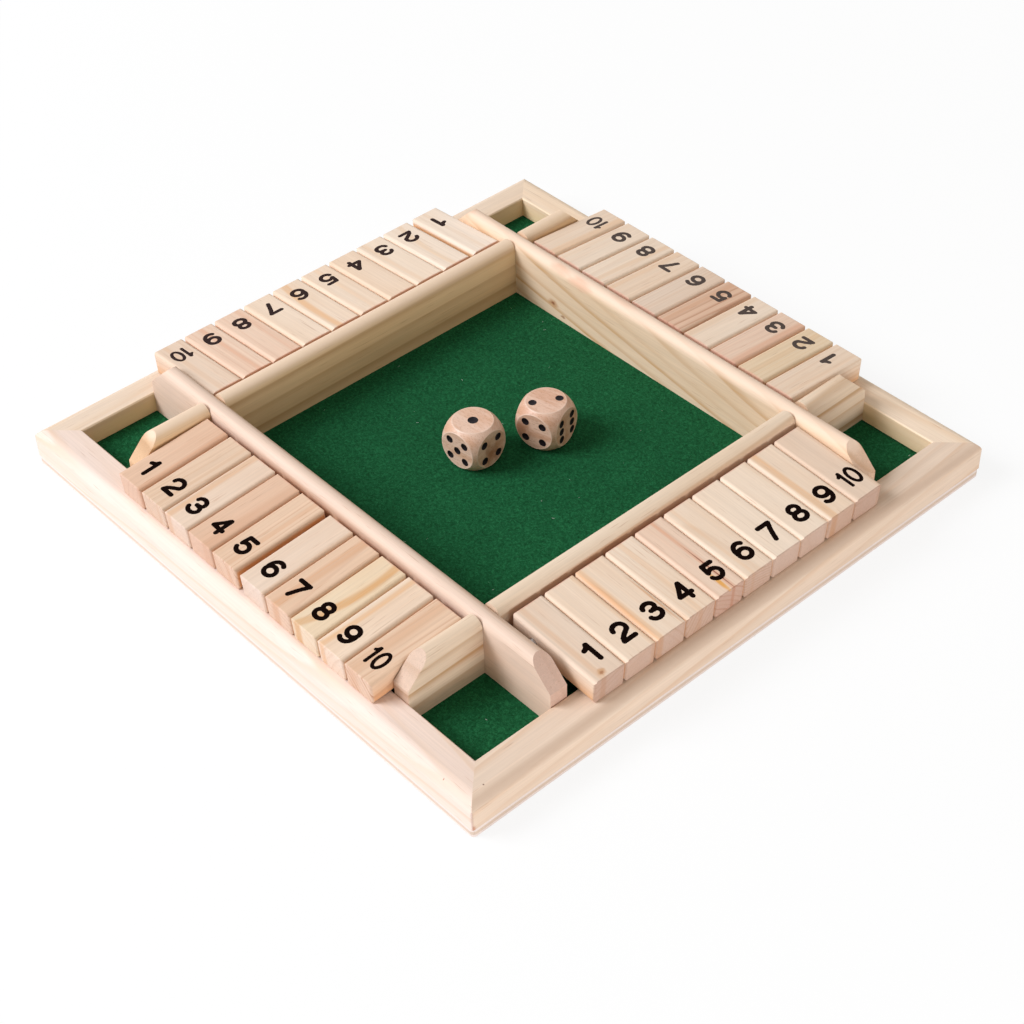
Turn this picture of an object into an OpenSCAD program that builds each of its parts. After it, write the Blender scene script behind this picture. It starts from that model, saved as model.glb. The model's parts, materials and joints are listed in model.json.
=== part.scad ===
// Four-player shut the box game: a low square tray of pine with ten numbered flip tiles
// along each side, four dividing walls halved into each other near the corners, a steel rod
// through each row of tiles, a felt floor and two rounded wooden dice.
//
// The origin is the centre of the underside and +Z is up. "Front" is the -Y side, "right"
// is +X, "back" is +Y and "left" is -X. Each side is drawn once, as the front one, and
// turned about Z. Tile 1 is at the left hand of a player who sits at that side.

/* [Board] */
// Outer length of each side of the square board
board_size = 224; // [204:2:270]
// Thickness of the board under the frame
base_t = 3.5; // [2.5:0.5:6]
// Width of the frame rails, seen from above
rail_w = 12; // [10:0.5:16]
// Height of the frame rails above the base board
rail_h = 10.7; // [9:0.1:13]
// Radius of the rails' outer top edge
rail_round = 4; // [2:0.5:5]
// Radius of the frame's corners, seen from above
corner_r = 0.8; // [0.5:0.1:3]
// Radius of the base board's corners, seen from above
base_corner_r = 1.5; // [1:0.1:5]
// Thickness of the floor panel that the felt is glued to
panel_t = 2.2; // [1.8:0.2:3]
// Thickness of the felt
felt_t = 0.8; // [0.6:0.1:1.2]

/* [Dividing walls] */
// Thickness of the dividing walls
wall_t = 6.5; // [5.5:0.5:8]
// Height of the dividing walls above the felt
wall_h = 21.8; // [18:0.2:27]
// Open length of the square pocket in each corner
pocket_size = 29; // [24:1:36]
// Height above the felt at which the sloping wall ends begin
slope_start = 12.7; // [10:0.1:16]

/* [Tiles and rods] */
// Diameter of the steel rods
rod_d = 3; // [2.5:0.1:3.6]
// Distance of a rod from the wall in front of it
rod_inset = 11; // [10:0.5:14]
// Depth of the rods' axes below the top of the walls
rod_drop = 7.7; // [6.6:0.1:9.4]
// Thickness of a tile
tile_t = 8.9; // [7:0.1:11]
// Length of a tile from the rod's axis to its inner end
tile_in = 9.5; // [7:0.5:9.5]
// Distance of a tile's outer end from where the rail's rounding begins
tile_back = 0; // [0:0.1:3]
// Radius of a tile's long edges
tile_edge = 1.4; // [0.6:0.1:2]
// Radius of a tile's corners, seen from above
tile_corner = 1; // [0.5:0.1:2]
// Radius of the top and bottom edges of a tile's ends
tile_end_edge = 0.4; // [0.2:0.1:1]
// Radial clearance of a tile on its rod
rod_fit = 0.08; // [0.05:0.01:0.1]
// Share of each row's length that the ten tiles leave free
row_play = 0.046; // [0.02:0.002:0.1]

/* [Dice] */
// Length of a die's edge, face to face
die_size = 16; // [12:0.5:19]
// Places of the two dice on the felt, and their turns in degrees
die_a_at = [-5.3, -8, 6];
die_b_at = [3.8, 16.4, 16];

/* [Hidden] */
SIDES = ["front", "right", "back", "left"];
TILES = [1:10];

// Where the tiles of each side have slid to, as shares of the row's play: the gap before
// tile 1, the tile that a wide gap follows (0 for none) and that gap.
ROW_SLIDE = [[0.05, 5, 0.33], [0.58, 0, 0], [0.37, 0, 0], [0.02, 1, 0.30]];

glue_gap = 0.1;      // round the floor panel, inside the frame
edge_break = 0.4;    // on the frame's inner top edge
base_inset = 0.1;    // of the base board's edge, inside the rails' faces
base_round = 0.3;    // on the base board's bottom edge
halving_fit = 0.05;  // each side of a cross-halving
rest_gap = 0.05;     // between parts that only rest on each other
rod_grip = 0.03;     // radial, between a rod and its blind hole
rod_seat = 0.68 * wall_t;    // depth of a rod's blind holes

half = board_size / 2;
open_half = half - rail_w;           // half of the opening inside the frame
flat_out = half - rail_round;        // where the rails' flat top ends
rail_top = base_t + rail_h;
panel_top = base_t + panel_t;
felt_top = panel_top + felt_t;
wall_out = open_half - pocket_size;  // a wall's outer face, from the board's centre
wall_in = wall_out - wall_t;         // a wall's inner face
wall_mid = wall_in + wall_t / 2;
wall_round = wall_t / 2;             // a wall's rounded top
wall_top = felt_top + wall_h;
wall_half_z = felt_top + wall_h / 2; // where halved walls meet
slope_z = felt_top + slope_start;

rod_y = wall_out + rod_inset;        // a rod's axis, from the board's centre
rod_z = wall_top - rod_drop;
row_len = 2 * wall_in;
tile_w = row_len * (1 - row_play) / 10;
tile_out = flat_out - tile_back - rod_y;    // from the rod's axis to the tile's outer end
tile_len = tile_in + tile_out;
// A tile lies on its rod and on the rail, under its rounded outer bottom edge.
rest_y = tile_out - tile_end_edge;   // from the rod's axis to the middle of that rounding
rest_z = tile_t / 2 - tile_end_edge;
rest_rise = rod_z - rail_top - rest_gap - tile_end_edge;
tile_tilt = asin(rest_rise / norm([rest_y, rest_z])) - atan(rest_z / rest_y);

die_ball = 1.32 * die_size;          // diameter of the ball that rounds a die's corners
pip_pitch = 0.205 * die_size;
pip_ball = 0.14 * die_size;          // radius of the cutter for a pip
pip_depth = 0.03 * die_size;
lone_pip = 1.25;                     // the single pip's size, times a common pip's

pine = "#eed6b8";
pine_dark = "#e2c29c";
tile_wood = "#f0dcc4";
felt_green = "#1f5a35";
bright_steel = "#c9ccd0";
die_wood = "#dcb79b";

$fn = 48;

function side_turn(s) = 90 * s;

// Left edge of tile n on side s, measured along the row from its middle
function tile_x(s, n) =
    let (
        play = row_len * row_play,
        lead = ROW_SLIDE[s][0] * play,
        loose_after = ROW_SLIDE[s][1],
        loose = ROW_SLIDE[s][2] * play,
        even = (play - lead - loose) / (loose_after > 0 ? 9 : 10),
        extra = loose_after > 0 && n > loose_after ? loose - even : 0
    )
    lead - row_len / 2 + (n - 1) * (tile_w + even) + extra;

// Square of the given half length with rounded corners
module round_square(half_len, r) {
    square([2 * half_len, 2 * (half_len - r)], center = true);
    square([2 * (half_len - r), 2 * half_len], center = true);
    for (x = [-1, 1], y = [-1, 1])
        translate([x, y] * (half_len - r))
            circle(r);
}

// Section of the base board's rim, outwards from the centre of its corner rounding
module base_rim() {
    square([base_corner_r - base_round, base_t]);
    translate([0, base_round])
        square([base_corner_r, base_t - base_round]);
    intersection() {
        translate([base_corner_r - base_round, base_round])
            circle(base_round);
        square([base_corner_r, base_t]);
    }
}

// Board under the frame, with its bottom edge rounded
module base_board() {
    side = 2 * (half - base_inset - base_corner_r);
    color(pine_dark) {
        translate([-side / 2, -side / 2, 0])
            cube([side, side, base_t]);
        for (s = [0:3])
            rotate(side_turn(s))
                translate([side / 2, -side / 2, 0]) {
                    rotate([90, 0, 180])
                        mirror([1, 0, 0])
                            linear_extrude(side)
                                base_rim();
                    rotate(270)
                        rotate_extrude(angle = 90)
                            base_rim();
                }
    }
}

// Thin panel that lifts the felt, dropped in between the rails
module floor_panel() {
    side = 2 * (open_half - glue_gap);
    color(pine_dark)
        translate([-side / 2, -side / 2, base_t])
            cube([side, side, panel_t]);
}

module felt() {
    side = 2 * (open_half - glue_gap);
    color(felt_green)
        translate([-side / 2, -side / 2, panel_top])
            cube([side, side, felt_t]);
}

// Section of a rail: x is the distance from the board's centre, y is the height
module rail_section() {
    translate([open_half, base_t])
        square([rail_w, rail_h - rail_round]);
    translate([open_half, base_t])
        square([rail_w - rail_round, rail_h]);
    translate([flat_out, rail_top - rail_round])
        circle(rail_round);
}

// Rail, moulded along its whole length, mitred, and eased at the board's corners
module rail(s) {
    mitre = board_size;
    color(pine)
        rotate(side_turn(s))
            difference() {
                intersection() {
                    translate([-half, 0, 0])
                        rotate([90, 0, 90])
                            mirror([1, 0, 0])
                                linear_extrude(board_size)
                                    rail_section();
                    linear_extrude(rail_top + 1)
                        round_square(half, corner_r);
                }
                for (m = [0, 1])
                    mirror([m, 0, 0])
                        linear_extrude(rail_top + 1)
                            polygon([[0, 0], [mitre, -mitre], [mitre, 0]]);
                // broken inner top edge
                translate([-half, -open_half, rail_top])
                    rotate([45, 0, 0])
                        translate([0, -edge_break / sqrt(2), -edge_break])
                            cube([board_size, sqrt(2) * edge_break, 2 * edge_break]);
            }
}

// Section of a dividing wall, standing on y = 0
module wall_section() {
    translate([-wall_t / 2, 0])
        square([wall_t, wall_h - wall_round]);
    translate([0, wall_h - wall_round])
        circle(wall_round);
}

// Dividing wall of one side: front and back walls run through above the halvings,
// left and right walls run through below them. Both carry the rods of the rows that
// meet them, and slope down at their ends to let a hand into the pockets.
module wall(s) {
    runs_over = s % 2 == 0;
    slot_z = runs_over ? wall_half_z - wall_h : wall_half_z;
    color(pine)
        rotate(side_turn(s))
            difference() {
                translate([-open_half, -wall_mid, felt_top])
                    rotate([90, 0, 90])
                        linear_extrude(2 * open_half)
                            wall_section();
                for (m = [0, 1])
                    mirror([m, 0, 0]) {
                        // sloping end
                        translate([open_half, -wall_out - 1, slope_z])
                            rotate([0, -45, 0])
                                cube([wall_h, wall_t + 2, 2 * wall_h]);
                        // slot of the cross-halving
                        translate([wall_in - halving_fit, -wall_out - 1, slot_z])
                            cube([wall_t + 2 * halving_fit, wall_t + 2, wall_h]);
                        // blind hole for the rod of the next row
                        translate([rod_y, -wall_in + 1, rod_z])
                            rotate([90, 0, 0])
                                cylinder(d = rod_d + 2 * rod_grip, h = rod_seat + 1);
                    }
            }
}

// Steel rod that the ten tiles of one side swing on
module rod(s) {
    len = row_len + 2 * (rod_seat - rest_gap);
    color(bright_steel)
        rotate(side_turn(s))
            translate([-len / 2, -rod_y, rod_z])
                rotate([0, 90, 0])
                    cylinder(d = rod_d, h = len);
}

// Rectangle with rounded corners and its left bottom corner at the origin
module round_rect(wide, high, r) {
    translate([r, 0])
        square([wide - 2 * r, high]);
    translate([0, r])
        square([wide, high - 2 * r]);
    for (x = [r, wide - r], y = [r, high - r])
        translate([x, y])
            circle(r);
}

// Tile before drilling: its section run out over its length, then rounded at both ends
// as seen from the side and from above
module tile_blank() {
    intersection() {
        translate([0, tile_in, -tile_t / 2])
            rotate([90, 0, 0])
                linear_extrude(tile_len)
                    round_rect(tile_w, tile_t, tile_edge);
        translate([0, -tile_out, -tile_t / 2])
            rotate([90, 0, 90])
                linear_extrude(tile_w)
                    round_rect(tile_len, tile_t, tile_end_edge);
        translate([0, -tile_out, -tile_t / 2])
            linear_extrude(tile_t)
                round_rect(tile_w, tile_len, tile_corner);
    }
}

// Flip tile, lying down with its outer end on the rail
module tile(s, n) {
    color(tile_wood)
        rotate(side_turn(s))
            translate([tile_x(s, n), -rod_y, rod_z])
                rotate([tile_tilt, 0, 0])
                    difference() {
                        tile_blank();
                        translate([-1, 0, 0])
                            rotate([0, 90, 0])
                                cylinder(d = rod_d + 2 * rod_fit, h = tile_w + 2);
                    }
}

// Places of n pips on a face, in steps from its middle
function pips(n) = concat(
    n % 2 == 1 ? [[0, 0]] : [],
    n >= 2 ? [[-1, -1], [1, 1]] : [],
    n >= 4 ? [[-1, 1], [1, -1]] : [],
    n == 6 ? [[-1, 0], [1, 0]] : []);

// Turns that bring the top face to the top, front, right, back, left and bottom
FACE_TURNS = [[0, 0, 0], [90, 0, 0], [90, 0, 90], [90, 0, 180], [90, 0, 270], [180, 0, 0]];

// Die on the felt: a cube with its corners rounded by a ball, and round pip dimples, the
// single one larger. Opposite faces add up to seven.
module die(at, top, front, right) {
    counts = [top, front, right, 7 - front, 7 - right, 7 - top];
    color(die_wood)
        translate([at[0], at[1], felt_top + rest_gap + die_size / 2])
            rotate(at[2])
                difference() {
                    intersection() {
                        cube(die_size, center = true);
                        sphere(d = die_ball);
                    }
                    for (f = [0:5])
                        rotate(FACE_TURNS[f])
                            for (p = pips(counts[f]))
                                translate([p[0] * pip_pitch, p[1] * pip_pitch, die_size / 2])
                                    scale(counts[f] == 1 ? lone_pip : 1)
                                        translate([0, 0, pip_ball - pip_depth])
                                            sphere(pip_ball);
                }
}

base_board();
floor_panel();
felt();
for (s = [0:3]) {
    rail(s);
    wall(s);
    rod(s);
    for (n = TILES)
        tile(s, n);
}
die(die_a_at, 1, 5, 4);  // die_a
die(die_b_at, 2, 4, 6);  // die_b
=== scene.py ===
import json
import math

import bpy
import numpy as np
from mathutils import Euler, Matrix, Vector, noise


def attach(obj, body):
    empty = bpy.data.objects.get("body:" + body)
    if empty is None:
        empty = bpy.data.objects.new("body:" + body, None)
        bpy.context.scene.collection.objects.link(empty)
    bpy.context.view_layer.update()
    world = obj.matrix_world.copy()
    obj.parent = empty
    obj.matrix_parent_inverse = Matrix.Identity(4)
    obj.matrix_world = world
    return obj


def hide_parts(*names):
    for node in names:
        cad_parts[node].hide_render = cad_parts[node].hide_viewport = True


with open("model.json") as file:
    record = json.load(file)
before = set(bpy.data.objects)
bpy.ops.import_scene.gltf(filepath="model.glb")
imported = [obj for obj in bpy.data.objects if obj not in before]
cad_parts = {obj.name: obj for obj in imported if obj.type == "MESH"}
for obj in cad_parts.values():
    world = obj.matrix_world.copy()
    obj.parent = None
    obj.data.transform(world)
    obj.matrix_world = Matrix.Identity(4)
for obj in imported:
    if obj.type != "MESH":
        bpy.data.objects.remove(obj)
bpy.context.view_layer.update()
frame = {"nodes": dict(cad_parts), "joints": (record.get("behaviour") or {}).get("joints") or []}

SIDES = ("front", "right", "back", "left")


# ---- Base board ----------------------------------------------------------------------------
# A 3.5 mm sheet of pale plywood under the whole frame, glued on from below. Its rim is
# rounded over and sanded with the rails, so its three veneers show as thin bands at the edge.

def linear(hex_colour):
    """An sRGB hex colour as the linear red, green, blue and alpha that a socket takes."""
    parts = [int(hex_colour[i:i + 2], 16) / 255 for i in (1, 3, 5)]
    return [p / 12.92 if p <= 0.04045 else ((p + 0.055) / 1.055) ** 2.4 for p in parts] + [1.0]


def add_node(tree, kind, inputs=None, **settings):
    """Adds one node. An input is a value, or another node or its output to link from."""
    made = tree.nodes.new(kind)
    for name, value in settings.items():
        setattr(made, name, value)
    for socket, value in (inputs or {}).items():
        if isinstance(value, bpy.types.Node):
            value = next(out for out in value.outputs if out.enabled)
        if isinstance(value, bpy.types.NodeSocket):
            tree.links.new(value, made.inputs[socket])
        else:
            made.inputs[socket].default_value = value
    return made


UNDER, OVER = 6, 7         # a Mix node's sockets for a colour and for the one laid over it


def begin_finish(name, middle=(0, 0, 0), turned=(0, 0, 0)):
    """A material, its tree, its coordinates, and its place in mm from a middle, turned."""
    finish = bpy.data.materials.new(name)
    finish.use_nodes = True
    tree = finish.node_tree
    tree.nodes.clear()
    coords = add_node(tree, "ShaderNodeTexCoord")
    in_mm = add_node(tree, "ShaderNodeMapping", {
        "Vector": coords.outputs["Object"], "Location": middle, "Rotation": turned,
        "Scale": (0.001, 0.001, 0.001)}, vector_type="TEXTURE")
    return finish, tree, coords, in_mm


def shaded(tree, tone, pattern, low, high, darkest, palest):
    """A tone made darker and paler by a pattern, between two levels of it."""
    shade = add_node(tree, "ShaderNodeMapRange", {
        "Value": pattern, "From Min": low, "From Max": high,
        "To Min": darkest, "To Max": palest})
    return add_node(tree, "ShaderNodeVectorMath", {0: tone, 1: shade}, operation="MULTIPLY")


def close_finish(tree, surface, pattern=None, strength=0.0, depth=0.0):
    """Ends a material with its surface, raised by a pattern to a depth in metres."""
    if pattern:
        surface["Normal"] = add_node(tree, "ShaderNodeBump", {
            "Height": pattern, "Strength": strength, "Distance": depth})
    shader = add_node(tree, "ShaderNodeBsdfPrincipled", surface)
    add_node(tree, "ShaderNodeOutputMaterial", {"Surface": shader})


def give(node_name, finish):
    """Puts a finish on a CAD node."""
    slots = frame["nodes"][node_name].data.materials
    slots.clear()
    slots.append(finish)


PLY_FACE = "#ecdbcb"       # rotary-cut veneer, pale and even
PLY_FACE_LINE = "#d8ba9a"  # its wide wandering ring lines
PLY_EDGE = "#e8d9d3"
PLY_CORE = "#d2b8a2"       # the middle veneer, cut across, looks darker
PLY_MM = 3.5
PLY_CORE_MM = (0.55, 0.75)      # where the middle veneer ends, up or down from the middle
PLY_RINGS = 22             # how many ring lines the slow waves of the face spread out

# Birch plywood, sanded and left bare: matt, with broad faint ring lines on the underside
# and three bands at the edge, the middle one darker because its fibres are cut across.
ply, tree, coords, in_mm = begin_finish("sanded birch plywood")
waves = add_node(tree, "ShaderNodeTexNoise", {"Vector": in_mm, "Scale": 0.012, "Detail": 3})
ring_count = add_node(tree, "ShaderNodeMath", {0: waves, 1: PLY_RINGS}, operation="MULTIPLY")
ring_phase = add_node(tree, "ShaderNodeMath", {0: ring_count}, operation="FRACT")
ring_edge = add_node(tree, "ShaderNodeMapRange", {
    "Value": ring_phase, "From Min": 0.55, "From Max": 0.97, "To Max": 0.55},
    interpolation_type="SMOOTHSTEP")
fine = add_node(tree, "ShaderNodeMapping", {"Vector": in_mm, "Scale": (0.04, 2.2, 2.2)})
fibres = add_node(tree, "ShaderNodeTexNoise", {"Vector": fine, "Scale": 1, "Detail": 5})
fibre_amount = add_node(tree, "ShaderNodeMapRange", {
    "Value": fibres, "From Min": 0.35, "From Max": 0.75, "To Max": 0.5})
line_amount = add_node(tree, "ShaderNodeMath", {0: ring_edge, 1: fibre_amount}, operation="MAXIMUM")
face_tone = add_node(tree, "ShaderNodeMix", {
    "Factor": line_amount, UNDER: linear(PLY_FACE), OVER: linear(PLY_FACE_LINE)},
    data_type="RGBA")
height = add_node(tree, "ShaderNodeSeparateXYZ", {0: in_mm})
off_middle = add_node(tree, "ShaderNodeMath", {
    0: height.outputs["Z"], 1: PLY_MM / 2}, operation="SUBTRACT")
off_middle = add_node(tree, "ShaderNodeMath", {0: off_middle}, operation="ABSOLUTE")
core = add_node(tree, "ShaderNodeMapRange", {
    "Value": off_middle, "From Min": PLY_CORE_MM[0], "From Max": PLY_CORE_MM[1],
    "To Min": 0.75, "To Max": 0}, interpolation_type="SMOOTHSTEP")
edge_tone = add_node(tree, "ShaderNodeMix", {
    "Factor": core, UNDER: linear(PLY_EDGE), OVER: linear(PLY_CORE)}, data_type="RGBA")
grit = add_node(tree, "ShaderNodeTexNoise", {"Vector": in_mm, "Scale": 1.6, "Detail": 3})
edge_tone = shaded(tree, edge_tone, grit, 0.3, 0.7, 0.93, 1.04)
upright = add_node(tree, "ShaderNodeSeparateXYZ", {0: coords.outputs["Normal"]})
flatness = add_node(tree, "ShaderNodeMath", {0: upright.outputs["Z"]}, operation="ABSOLUTE")
on_face = add_node(tree, "ShaderNodeMapRange", {
    "Value": flatness, "From Min": 0.75, "From Max": 0.95})
tone = add_node(tree, "ShaderNodeMix", {
    "Factor": on_face, UNDER: edge_tone, OVER: face_tone}, data_type="RGBA")
close_finish(tree, {"Base Color": tone, "Roughness": 0.62, "Specular IOR Level": 0.3},
             fibres, strength=0.35, depth=0.00006)
give("base_board", ply)
give("floor_panel", ply)


# ---- Felt ----------------------------------------------------------------------------------
# One square of green craft felt, 0.8 mm thick, glued flat on the raised floor panel before
# the walls go on, so that it shows in the tray, in the four pockets and under the tiles.

FELT_WIDTH = 0.1998
FELT_THICKNESS = 0.0008
FELT_TOP = 0.0065
FELT_CELL = 0.0016         # grid step of the sheet's mesh
FELT_DIP = 0.00007         # how far the pressed surface waves below its highest points
FELT_WAVES = 160           # waves per metre
FELT_HEM = 0.003           # the waves die out over this much at the cut edge

FELT_GREEN = "#15502f"
FELT_SHADE = "#093318"     # deeper between the fibres
FELT_TIP = "#2a7549"       # pale fibre ends that catch the light
FELT_BLOOM = "#5aa87a"     # the sheen of the loose ends

# Pressed synthetic felt: no shine, a fine mottle of crossing fibres a quarter of a millimetre
# across, and a soft bloom at grazing angles from the loose fibre ends.
felt_finish, tree, _, in_mm = begin_finish("pressed green felt")
curl = add_node(tree, "ShaderNodeTexNoise", {"Vector": in_mm, "Scale": 0.5, "Detail": 2})
# A Mix node's sockets 4 and 5 are its two vectors.
curled = add_node(tree, "ShaderNodeMix", {
    "Factor": 0.72, 4: in_mm, 5: curl.outputs["Color"]}, data_type="VECTOR")
tufts = add_node(tree, "ShaderNodeTexNoise", {
    "Vector": curled, "Scale": 4.0, "Detail": 5, "Roughness": 0.72})
strands = add_node(tree, "ShaderNodeTexNoise", {
    "Vector": in_mm, "Scale": 4.2, "Detail": 4, "Roughness": 0.8, "Distortion": 2.5})
mottle = add_node(tree, "ShaderNodeMath", {0: tufts, 1: strands}, operation="ADD")
depth = add_node(tree, "ShaderNodeMapRange", {
    "Value": mottle, "From Min": 0.75, "From Max": 1.22})
tone = add_node(tree, "ShaderNodeValToRGB", {"Fac": depth})
tone.color_ramp.elements[0].color = linear(FELT_SHADE)
tone.color_ramp.elements[1].color = linear(FELT_TIP)
tone.color_ramp.elements.new(0.5).color = linear(FELT_GREEN)
clouds = add_node(tree, "ShaderNodeTexNoise", {"Vector": in_mm, "Scale": 0.03, "Detail": 2})
tone = shaded(tree, tone, clouds, 0.3, 0.7, 0.93, 1.07)
close_finish(tree, {"Base Color": tone, "Roughness": 0.95, "Specular IOR Level": 0.06,
                    "Sheen Weight": 0.06, "Sheen Roughness": 0.6,
                    "Sheen Tint": linear(FELT_BLOOM)}, mottle, strength=0.6, depth=0.0003)


def new_piece(name, vertices, faces, finish):
    """A mesh object at the origin, its place in its mesh."""
    mesh = bpy.data.meshes.new(name)
    mesh.from_pydata([tuple(v) for v in vertices], [], faces)
    mesh.materials.append(finish)
    made = bpy.data.objects.new(name, mesh)
    bpy.context.scene.collection.objects.link(made)
    return made


cells = round(FELT_WIDTH / FELT_CELL)
steps = np.linspace(-FELT_WIDTH / 2, FELT_WIDTH / 2, cells + 1)
top, bottom = [], []
for y in steps:
    for x in steps:
        wave = 0.5 + 0.5 * noise.noise(Vector((x * FELT_WAVES, y * FELT_WAVES, 0.3)))
        inner = min(1, (FELT_WIDTH / 2 - max(abs(x), abs(y))) / FELT_HEM)
        top.append((x, y, FELT_TOP - FELT_DIP * wave * inner))
        bottom.append((x, y, FELT_TOP - FELT_THICKNESS))
row = cells + 1
under = row * row
faces = []
for j in range(cells):
    for i in range(cells):
        a = j * row + i
        faces.append((a, a + 1, a + row + 1, a + row))
        faces.append((under + a + row, under + a + row + 1, under + a + 1, under + a))
for i in range(cells):
    far = cells * row + i
    faces.append((under + i, under + i + 1, i + 1, i))
    faces.append((far, far + 1, under + far + 1, under + far))
    near = i * row
    faces.append((near, near + row, under + near + row, under + near))
    end = i * row + cells
    faces.append((under + end, under + end + row, end + row, end))
felt_sheet = new_piece("felt_sheet", top + bottom, faces, felt_finish)
for face in felt_sheet.data.polygons:
    face.use_smooth = face.normal.z > 0.5

# The open floor between the walls and rails, where loose fibres can stand up.
OPEN_BANDS = ((-0.0995, -0.0715), (-0.064, 0.064), (0.0715, 0.0995))


def open_floor():
    """The felt's nine open fields as plain faces, for fibres to be strewn over."""
    vertices, faces = [], []
    for x0, x1 in OPEN_BANDS:
        for y0, y1 in OPEN_BANDS:
            first = len(vertices)
            vertices += [(x0, y0, FELT_TOP), (x1, y0, FELT_TOP),
                         (x1, y1, FELT_TOP), (x0, y1, FELT_TOP)]
            faces.append(tuple(range(first, first + 4)))
    return new_piece("open floor", vertices, faces, felt_finish)


def new_group(name, kind, inputs, outputs):
    """A named node tree and the node that hands it its inputs, listed by kind of socket."""
    tree = bpy.data.node_groups.new(name, kind)
    for way, sockets in (("INPUT", inputs), ("OUTPUT", outputs)):
        for socket_kind, names in sockets.items():
            for socket in names:
                tree.interface.new_socket(socket, in_out=way,
                                          socket_type="NodeSocket" + socket_kind)
    return tree, add_node(tree, "NodeGroupInput")


# Loose fibre ends on the felt: each a short curl lying almost flat, three-sided and drawn
# thicker than the real 0.02 mm so that it shows.
strew, given = new_group(
    "loose fibres", "GeometryNodeTree",
    {"Geometry": ("Floor",), "Float": ("Fibres per square metre", "Length", "Thickness"),
     "Int": ("Seed",), "Material": ("Finish",)}, {"Geometry": ("Fibres",)})
spots = add_node(strew, "GeometryNodeDistributePointsOnFaces", {
    "Mesh": given.outputs["Floor"], "Density": given.outputs["Fibres per square metre"],
    "Seed": given.outputs["Seed"]})
half = add_node(strew, "ShaderNodeMath", {0: given.outputs["Length"], 1: 0.5}, operation="MULTIPLY")
start = add_node(strew, "ShaderNodeCombineXYZ", {"X": half})
crook = add_node(strew, "ShaderNodeCombineXYZ", {"Y": half})
tail = add_node(strew, "ShaderNodeVectorMath", {0: start, "Scale": -1.0}, operation="SCALE")
curl = add_node(strew, "GeometryNodeCurveQuadraticBezier", {
    "Resolution": 4, "Start": start, "Middle": crook, "End": tail})
section = add_node(strew, "GeometryNodeCurvePrimitiveCircle", {
    "Resolution": 3, "Radius": given.outputs["Thickness"]})
strand = add_node(strew, "GeometryNodeCurveToMesh", {
    "Curve": curl, "Profile Curve": section, "Fill Caps": True})
turns, sizes = (add_node(strew, "FunctionNodeRandomValue", {
    0: least, 1: most, "Seed": given.outputs["Seed"]}, data_type="FLOAT_VECTOR")
    for least, most in (((-0.10, -0.10, 0.0), (0.10, 0.10, math.tau)),
                        ((0.5, -1.2, 1.0), (1.4, 1.2, 1.0))))
laid = add_node(strew, "GeometryNodeInstanceOnPoints", {
    "Points": spots, "Instance": strand, "Rotation": turns, "Scale": sizes})
real = add_node(strew, "GeometryNodeRealizeInstances", {"Geometry": laid})
painted = add_node(strew, "GeometryNodeSetMaterial", {
    "Geometry": real, "Material": given.outputs["Finish"]})
add_node(strew, "NodeGroupOutput", {"Fibres": painted})


def grown(seed_piece, tree, name, **inputs):
    """Runs a geometry tree on a piece and keeps the result as a plain mesh of its own."""
    modifier = seed_piece.modifiers.new("growth", "NODES")
    modifier.node_group = tree
    for item in tree.interface.items_tree:
        key = item.name.lower().replace(" ", "_")
        if item.in_out == "INPUT" and key in inputs:
            modifier[item.identifier] = inputs[key]
    ready = bpy.context.evaluated_depsgraph_get()
    mesh = bpy.data.meshes.new_from_object(seed_piece.evaluated_get(ready))
    seed_piece.modifiers.clear()
    bpy.data.objects.remove(seed_piece)
    mesh.name = name
    made = bpy.data.objects.new(name, mesh)
    bpy.context.scene.collection.objects.link(made)
    return made


def loose_ends(name, finish_name, tones, patches, roughness, shine, **growth):
    """Strews loose ends over the open floor, their tone changing in patches from end to end."""
    finish, tree, _, in_mm = begin_finish(finish_name)
    patch = add_node(tree, "ShaderNodeTexNoise", {
        "Vector": in_mm, "Scale": patches, "Detail": 1})
    tone = add_node(tree, "ShaderNodeMix", {
        "Factor": patch, UNDER: linear(tones[0]), OVER: linear(tones[1])}, data_type="RGBA")
    close_finish(tree, {"Base Color": tone, "Roughness": roughness,
                        "Specular IOR Level": shine})
    return grown(open_floor(), strew, name, finish=finish, **growth)


# Stray fibre ends of the same felt, a little paler where they stand clear of the sheet.
felt_fluff = loose_ends("felt_fluff", "loose felt fibres", ("#164c2c", "#3a8257"), 0.9, 0.85,
                        0.15, fibres_per_square_metre=190000.0, length=0.0016,
                        thickness=0.00003, seed=4)
# Off-white dust and thread ends, dry and matt.
felt_lint = loose_ends("felt_lint", "white lint", ("#9fb5a4", "#dfe4dc"), 0.5, 0.9, 0.1,
                       fibres_per_square_metre=2200.0, length=0.0007, thickness=0.00006,
                       seed=11)
for soft_piece in (felt_sheet, felt_fluff, felt_lint):
    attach(soft_piece, "board")
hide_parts("felt")


# ---- Frame rails ---------------------------------------------------------------------------
# Four planed pine rails, mitred and glued at the corners, their outer top edge run round
# with a router and everything sanded smooth. Left bare, each from another part of the tree.

figure, board = new_group(
    "pine figure", "ShaderNodeTree",
    {"Vector": ("Place", "Pith", "Lean", "End tone"),
     "Color": ("Ground", "Ring colour", "Streak colour"),
     "Float": ("Across fibres", "Wander", "Taper", "Ring width", "Ring strength",
               "Streak place", "Streak width", "Streak bow", "Streak strength", "End rings",
               "Seed")}, {"Color": ("Colour",), "Float": ("Height",)})
figure.interface.items_tree["End tone"].default_value = (0.83, 0.76, 0.77)
figure.interface.items_tree["End rings"].default_value = 0.6
place, seed = board.outputs["Place"], board.outputs["Seed"]
along = add_node(figure, "ShaderNodeSeparateXYZ", {0: place})

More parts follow.
